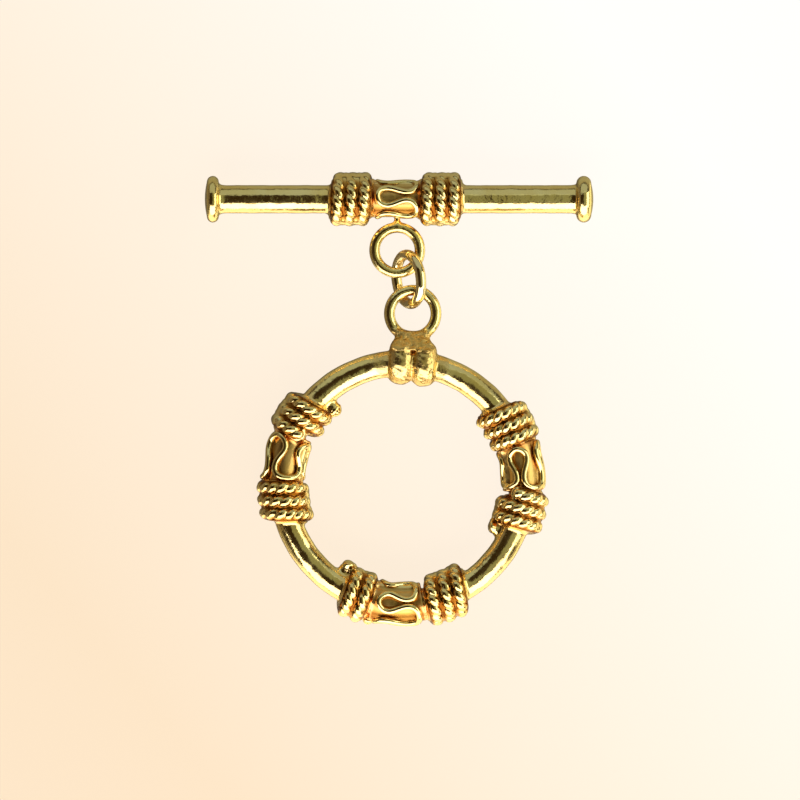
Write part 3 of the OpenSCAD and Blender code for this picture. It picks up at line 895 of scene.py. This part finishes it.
def solder_share(points):
    """How much painted orange reflection a point gets on the solder between a sleeve and its
    windings, 0 to 1.
    """
    angle = np.arctan2(points[:, 1] - RING_Y, points[:, 0] - RING_X) / DEG
    off_bar = np.abs(points[:, 1] - BAR_Y) > BAR_REFLECTION_R
    distances = [np.where(off_bar, np.inf, np.abs(points[:, 0] - TRIM_X))]
    distances += [ring_distance(angle, station) for station in STATIONS]
    sleeve_end = MEANDER_LEN / 2 + REFLECTION_OFF
    winding_end = MEANDER_LEN / 2 + 3 * PITCH
    share = np.zeros(len(points))
    for s in distances:
        near = 1 - step_up(np.abs(s - sleeve_end), *REFLECTION_EDGE)
        far = 1 - step_up(np.abs(s - winding_end), *FAR_REFLECTION_EDGE)
        share = np.maximum(share, np.maximum(near, FAR_PAINTED_REFLECTION * far))
    return share


def worked_share(points):
    """How much a point is on the rough solder of the collar and its saddle, 0 to 1."""
    u, v, _ = ring_frame(points, SADDLE_ANGLE)
    outward = step_up(u, *SADDLE_FOOT_EDGE) * (1 - step_up(u, *SADDLE_TIP_EDGE))
    saddle = outward * (1 - step_up(np.abs(v), *SADDLE_SIDE_EDGE))
    collar = 1 - step_up(np.hypot(u, COLLAR_STRETCH * v), *COLLAR_EDGE)
    return np.maximum(saddle, COLLAR_WORKED * collar)


def sleeve_share(points):
    """How much a point is on a sleeve between the meander's wires, from 0 to 1, and how much
    it faces the front there."""
    half = MEANDER_LEN / 2
    x, y, z = (points - np.array([RING_X, RING_Y, MID_Z])).T
    reach = np.hypot(x, y)
    rho = np.hypot(reach - RING_R, z)
    angle = np.arctan2(y, x)
    on_ring_share = np.zeros(len(points))
    for station in STATIONS:
        s = ring_distance(angle / DEG, station)
        on_ring_share = np.maximum(on_ring_share, 1 - step_up(s, half, half + SLEEVE_FADE))
    on_ring_share *= 1 - step_up(rho, *RING_SLEEVE_EDGE)
    ring_front = -(reach - RING_R) / np.maximum(rho, TINY) * np.sin(angle)
    y = points[:, 1] - BAR_Y
    rho = np.hypot(y, z)
    on_bar_share = 1 - step_up(np.abs(points[:, 0] - TRIM_X), half, half + SLEEVE_FADE)
    on_bar_share *= 1 - step_up(rho, *BAR_SLEEVE_EDGE)
    bar_front = -y / np.maximum(rho, TINY)
    front = np.where(on_bar_share > on_ring_share, bar_front, ring_front)
    return np.maximum(on_ring_share, on_bar_share), step_up(front, *FRONT_EDGE)


def body_values(points):
    """For the two bodies: an orange painted reflection on the solder, painted shade on the
    sleeves with tarnish on the collar, dull is rough and worked has small lumps."""
    worked = worked_share(points)
    sleeve, front = sleeve_share(points)
    # Painted shade on the sleeves between the meander's wires, and more of it where they face
    # the front
    on_sleeve = sleeve * (SLEEVE_PAINTED_SHADE + FRONT_PAINTED_SHADE * front)
    on_collar = COLLAR_TARNISH * step_up(worked, *COLLAR_TARNISH_EDGE)
    return {"solder": solder_share(points), "worked": worked,
            "painted_shade_and_tarnish": np.maximum(on_collar, on_sleeve),
            "dull": np.maximum(worked, RECESS_DULL * sleeve)}


def rope_values(points, w):
    """For a winding: painted shade that grows with the depth below its outside, and dull is
    rough.
    """
    sunk = recess_depth(points, w)
    return {"painted_shade_and_tarnish": sunk, "dull": RECESS_DULL * step_up(sunk, *ROPE_DULL_EDGE)}


# Materials

# Painted orange reflection on the solder, painted shade and tarnish by the mesh's values, and
# painted shade in crevices: their colours by how much of each there is
DULL_ROUGH = 0.24
WORKED_RELIEF = 0.3
PAINTED_REFLECTION_TINT = (0.95, 0.62, 0.25)
SHADE_AND_TARNISH_COLOURS = [(0.13, (1, 1, 1)), (0.23, (0.62, 0.42, 0.21)), (0.34, (0.24, 0.10, 0.02))]
CREVICE_REACH = 0.45
CREVICE_SAMPLES = 8
PAINTED_CREVICE_SHADE = [(0.05, (0.26, 0.09, 0.015)), (0.4, (0.72, 0.46, 0.22)), (0.8, (1, 1, 1))]

# Noises: waves per metre, detail and roughness
TONE = (420, 4, 0.6)
WEAR = (900, 5, 0.65)
DENTS = (1700, 3, 0.55)
GRAINS = (5200, 3, 0.6)
PITS = (1300, 4, 0.6)
FIBRES = (3000, 3, 0.5)

# What the noises turn into: the tone and the wear run over these parts of their range
TONE_RANGE = (0.35, 0.7)
WEAR_RANGE = (0.3, 0.7)

# Golds: pale and deep tone, least and most roughness, and the depth of dents and grain
GOLDS = {
    "polished_gold": dict(pale=(1.0, 0.81, 0.37), deep=(0.95, 0.70, 0.24), rough=(0.09, 0.23),
                          dent=0.034, grain=0.002),
    "link_gold": dict(pale=(1.0, 0.83, 0.46), deep=(0.96, 0.74, 0.34), rough=(0.06, 0.15),
                      dent=0.006, grain=0.001),
    "rope_gold": dict(pale=(1.0, 0.80, 0.38), deep=(0.95, 0.68, 0.24), rough=(0.06, 0.16),
                      dent=0.004, grain=0.0015),
    "meander_gold": dict(pale=(1.0, 0.81, 0.38), deep=(0.95, 0.70, 0.26), rough=(0.07, 0.16),
                         dent=0.004, grain=0.001),
}

# The card that the clasp lies on: what is seen of it, and what the metal reflects
CARD_SIZE = 0.6
CARD_GLOW = 0.985
CARD_TINTS = [(0.15, (0.93, 0.745, 0.54)), (0.5, (0.98, 0.87, 0.74)), (0.85, (1.0, 0.98, 0.95))]
CARD_TINT_TURN = -40
CARD_TINT_SCALE = 14
CARD_TINT_MIDDLE = 0.5
CARD_SHADED = (0.08, 0.07, 0.06)
CARD_BELOW = (0.13, 0.12, 0.09)
CARD_BELOW_ROUGH = 0.9
CARD_BELOW_GLOW = 0.03
CARD_BELOW_TINT = (1.0, 0.92, 0.80)
CARD_GLOSS = (0.62, 0.55, 0.42)
CARD_GLOSS_ROUGH = 0.3
FIBRE_STRENGTH = 0.2
FIBRE_DEPTH = 0.02


def shader(name):
    material = bpy.data.materials.new(name)
    material.use_nodes = True
    nodes = material.node_tree.nodes
    return material, nodes, material.node_tree.links, nodes["Principled BSDF"]


def noise(nodes, links, vector, scale, detail, rough):
    n = nodes.new("ShaderNodeTexNoise")
    n.inputs["Scale"].default_value = scale
    n.inputs["Detail"].default_value = detail
    n.inputs["Roughness"].default_value = rough
    links.new(vector, n.inputs["Vector"])
    return n.outputs["Fac"]


def ramp(nodes, links, fac, stops):
    r = nodes.new("ShaderNodeValToRGB")
    while len(r.color_ramp.elements) < len(stops):
        r.color_ramp.elements.new(0.5)
    for e, (place, colour) in zip(r.color_ramp.elements, stops):
        e.position = place
        e.color = (*colour, 1)
    links.new(fac, r.inputs["Fac"])
    return r.outputs["Color"]


def bump(nodes, links, height, strength, depth, below=None):
    b = nodes.new("ShaderNodeBump")
    b.inputs["Strength"].default_value = strength
    b.inputs["Distance"].default_value = depth * MM
    links.new(height, b.inputs["Height"])
    if below:
        links.new(below, b.inputs["Normal"])
    return b.outputs["Normal"]


def mesh_value(nodes, name):
    """What the mesh says at each point under a name, or 0 where it says nothing."""
    n = nodes.new("ShaderNodeAttribute")
    n.attribute_name = name
    return n.outputs["Fac"]


def multiply(nodes, links, a, b):
    """The product of two colours."""
    m = nodes.new("ShaderNodeMix")
    m.data_type = "RGBA"
    m.blend_type = "MULTIPLY"
    m.inputs["Factor"].default_value = 1
    links.new(a, m.inputs["A"])
    links.new(b, m.inputs["B"])
    return m.outputs["Result"]


def gold_colour(nodes, links, place, pale, deep):
    """Gold of two tones, with a painted orange reflection on its solder, painted shade in its
    crevices, and painted shade and tarnish where the mesh's values ask for them.
    """
    clean = ramp(nodes, links, noise(nodes, links, place, *TONE),
                 list(zip(TONE_RANGE, (pale, deep))))
    # Painted orange reflection: warm bounce light painted on the solder
    soldered = nodes.new("ShaderNodeMix")
    soldered.data_type = "RGBA"
    links.new(mesh_value(nodes, "solder"), soldered.inputs["Factor"])
    links.new(clean, soldered.inputs["A"])
    soldered.inputs["B"].default_value = (*PAINTED_REFLECTION_TINT, 1)
    # Painted shade: the colour darkens where ambient occlusion finds surfaces close by
    crevice = nodes.new("ShaderNodeAmbientOcclusion")
    crevice.inputs["Distance"].default_value = CREVICE_REACH * MM
    crevice.samples = CREVICE_SAMPLES
    painted_crevice_shade = ramp(nodes, links, crevice.outputs["AO"], PAINTED_CREVICE_SHADE)
    # Painted shade in recesses and tarnish on the collar, as a darker colour from the mesh's
    # values
    shade_and_tarnish = ramp(nodes, links, mesh_value(nodes, "painted_shade_and_tarnish"), SHADE_AND_TARNISH_COLOURS)
    return multiply(nodes, links, multiply(nodes, links, soldered.outputs["Result"], painted_crevice_shade),
                    shade_and_tarnish)


def gold_roughness(nodes, links, place, least, most):
    """Worn gold's roughness, and more where it is dull."""
    spread = nodes.new("ShaderNodeMapRange")
    spread.inputs["From Min"].default_value = WEAR_RANGE[0]
    spread.inputs["From Max"].default_value = WEAR_RANGE[1]
    spread.inputs["To Min"].default_value = least
    spread.inputs["To Max"].default_value = most
    links.new(noise(nodes, links, place, *WEAR), spread.inputs["Value"])
    rougher = nodes.new("ShaderNodeMath")
    rougher.operation = "MULTIPLY_ADD"
    links.new(mesh_value(nodes, "dull"), rougher.inputs[0])
    rougher.inputs[1].default_value = DULL_ROUGH
    links.new(spread.outputs["Result"], rougher.inputs[2])
    return rougher.outputs["Value"]


def gold_relief(nodes, links, place, dent, grain):
    """Soft dents and fine grain all over, and pits in worked solder."""
    normal = bump(nodes, links, noise(nodes, links, place, *DENTS), 1, dent)
    normal = bump(nodes, links, noise(nodes, links, place, *GRAINS), 1, grain, normal)
    pits = nodes.new("ShaderNodeMath")
    pits.operation = "MULTIPLY"
    links.new(mesh_value(nodes, "worked"), pits.inputs[0])
    links.new(noise(nodes, links, place, *PITS), pits.inputs[1])
    return bump(nodes, links, pits.outputs["Value"], 1, WORKED_RELIEF, normal)


def gold(name, pale, deep, rough, dent, grain):
    """Polished gold with soft dents, fine grain, and tarnish in its recesses."""
    material, nodes, links, surface = shader(name)
    place = nodes.new("ShaderNodeTexCoord").outputs["Object"]
    links.new(gold_colour(nodes, links, place, pale, deep), surface.inputs["Base Color"])
    links.new(gold_roughness(nodes, links, place, *rough), surface.inputs["Roughness"])
    links.new(gold_relief(nodes, links, place, dent, grain), surface.inputs["Normal"])
    surface.inputs["Metallic"].default_value = 1
    return material


def card_tint(nodes, links, place):
    """The card's slow change from warm at its lower left to white at its upper right."""
    turn = nodes.new("ShaderNodeMapping")
    turn.inputs["Rotation"].default_value = (0, 0, CARD_TINT_TURN * DEG)
    turn.inputs["Location"].default_value = (CARD_TINT_MIDDLE, CARD_TINT_MIDDLE, 0)
    turn.inputs["Scale"].default_value = (CARD_TINT_SCALE,) * 3
    links.new(place, turn.inputs["Vector"])
    slide = nodes.new("ShaderNodeTexGradient")
    links.new(turn.outputs["Vector"], slide.inputs["Vector"])
    return ramp(nodes, links, slide.outputs["Fac"], CARD_TINTS)


def added(nodes, links, a, b):
    both = nodes.new("ShaderNodeAddShader")
    links.new(a, both.inputs[0])
    links.new(b, both.inputs[1])
    return both.outputs["Shader"]


def card_material():
    """Pale card on a light table. What is seen of it glows evenly, and what the metal
    reflects of it is darker and a little glossy."""
    material, nodes, links, surface = shader("pale_card")
    place = nodes.new("ShaderNodeTexCoord").outputs["Object"]
    surface.inputs["Base Color"].default_value = (*CARD_BELOW, 1)
    surface.inputs["Roughness"].default_value = CARD_BELOW_ROUGH
    surface.inputs["Specular IOR Level"].default_value = 0
    surface.inputs["Emission Color"].default_value = (*CARD_BELOW_TINT, 1)
    surface.inputs["Emission Strength"].default_value = CARD_BELOW_GLOW
    fibre = noise(nodes, links, place, *FIBRES)
    links.new(bump(nodes, links, fibre, FIBRE_STRENGTH, FIBRE_DEPTH), surface.inputs["Normal"])
    gloss = nodes.new("ShaderNodeBsdfGlossy")
    gloss.inputs["Color"].default_value = (*CARD_GLOSS, 1)
    gloss.inputs["Roughness"].default_value = CARD_GLOSS_ROUGH
    shade = nodes.new("ShaderNodeBsdfDiffuse")
    shade.inputs["Color"].default_value = (*CARD_SHADED, 1)
    glow = nodes.new("ShaderNodeEmission")
    glow.inputs["Strength"].default_value = CARD_GLOW
    links.new(card_tint(nodes, links, place), glow.inputs["Color"])
    seen = nodes.new("ShaderNodeLightPath").outputs["Is Camera Ray"]
    choice = nodes.new("ShaderNodeMixShader")
    links.new(seen, choice.inputs["Fac"])
    links.new(added(nodes, links, surface.outputs["BSDF"], gloss.outputs["BSDF"]),
              choice.inputs[1])
    links.new(added(nodes, links, shade.outputs["BSDF"], glow.outputs["Emission"]),
              choice.inputs[2])
    links.new(choice.outputs["Shader"], nodes["Material Output"].inputs["Surface"])
    return material


# The studio

# Light panels: place, target, width and height, how bright they look, and colour
PANELS = {
    "front_panel": dict(place=(0, -104, 62), target=(0, 0, 0), size=(260, 124), radiance=2.9,
                        colour=(1.0, 0.97, 0.93)),
    "back_panel": dict(place=(0, 110, 62), target=(0, 0, 0), size=(240, 110), radiance=0.42,
                       colour=(0.86, 1.0, 0.92)),
    "right_panel": dict(place=(125, 0, 66), target=(0, 0, 0), size=(150, 100), radiance=2.1,
                        colour=(0.95, 1.0, 0.86)),
    "left_panel": dict(place=(-125, 20, 40), target=(0, 0, 0), size=(160, 60), radiance=0.16,
                       colour=(1.0, 0.84, 0.62)),
    "canopy": dict(place=(64, 22, 110), target=(64, 22, 0), size=(124, 140), radiance=0.26,
                   colour=(0.90, 1.0, 0.60)),
}
ROOM_COLOUR = (0.030, 0.018, 0.006)

# Camera: its place, the width that it takes in at the clasp, and its sensor
VIEW_X = 0.06
VIEW_Y = -0.03
VIEW_HEIGHT = 420.0
VIEW_WIDTH = 51.5
SENSOR_WIDTH = 36
CLIP_START = 0.001


def panel(name, place, target, size, radiance, colour):
    """A soft light panel that faces a target."""
    width, height = size
    data = bpy.data.lights.new(name, "AREA")
    data.shape = "RECTANGLE"
    data.size = width * MM
    data.size_y = height * MM
    data.energy = radiance * math.pi * width * height * MM * MM
    data.color = colour
    obj = bpy.data.objects.new(name, data)
    bpy.context.scene.collection.objects.link(obj)
    obj.location = [c * MM for c in place]
    toward = np.array(target) - np.array(place)
    pitch = math.acos(-toward[2] / np.linalg.norm(toward))
    straight_down = pitch < 0.001
    turn = 0 if straight_down else math.atan2(toward[1], toward[0]) - math.pi / 2
    obj.rotation_euler = (pitch, 0, turn)


def studio():
    world = bpy.data.worlds.new("dim_room")
    bpy.context.scene.world = world
    world.use_nodes = True
    room = world.node_tree.nodes["Background"]
    room.inputs["Color"].default_value = (*ROOM_COLOUR, 1)
    room.inputs["Strength"].default_value = 1.0
    for name, values in PANELS.items():
        panel(name, **values)


def card():
    mesh = bpy.data.meshes.new("card")
    corners = [(-1, -1), (1, -1), (1, 1), (-1, 1)]
    mesh.from_pydata([(CARD_SIZE * x, CARD_SIZE * y, 0) for x, y in corners], [], [(0, 1, 2, 3)])
    mesh.materials.append(card_material())
    obj = bpy.data.objects.new("card", mesh)
    bpy.context.scene.collection.objects.link(obj)


def camera():
    data = bpy.data.cameras.new("camera")
    data.sensor_width = SENSOR_WIDTH
    data.lens = SENSOR_WIDTH * (VIEW_HEIGHT - MID_Z) / VIEW_WIDTH
    data.clip_start = CLIP_START
    obj = bpy.data.objects.new("camera", data)
    obj.location = (VIEW_X * MM, VIEW_Y * MM, VIEW_HEIGHT * MM)
    bpy.context.scene.collection.objects.link(obj)
    bpy.context.scene.camera = obj
    bpy.context.scene.view_settings.view_transform = "Standard"


def main():
    camera()
    studio()
    card()
    golds = {name: gold(name, **values) for name, values in GOLDS.items()}
    for name, node, field, cell in (("bar_body", "toggle_bar", bar_field, BAR_CELL),
                                    ("ring_body", "clasp_ring", ring_field, RING_CELL)):
        points, faces = field_skin(field, node, BODY_ROOM, cell)
        make_object(name, points, faces, node, golds["polished_gold"],
                    body_values(points))
    for name, w in WINDINGS.items():
        points, faces = field_skin(lambda p, w=w: rope_field(p, w), name, ROPE_ROOM,
                                   ROPE_CELL)
        make_object(name + "_strands", points, faces, name, golds["rope_gold"],
                    rope_values(points, w))
    for name, m in MEANDERS.items():
        meander(name, m, golds["meander_gold"])
    link_ring(golds["link_gold"])


main()
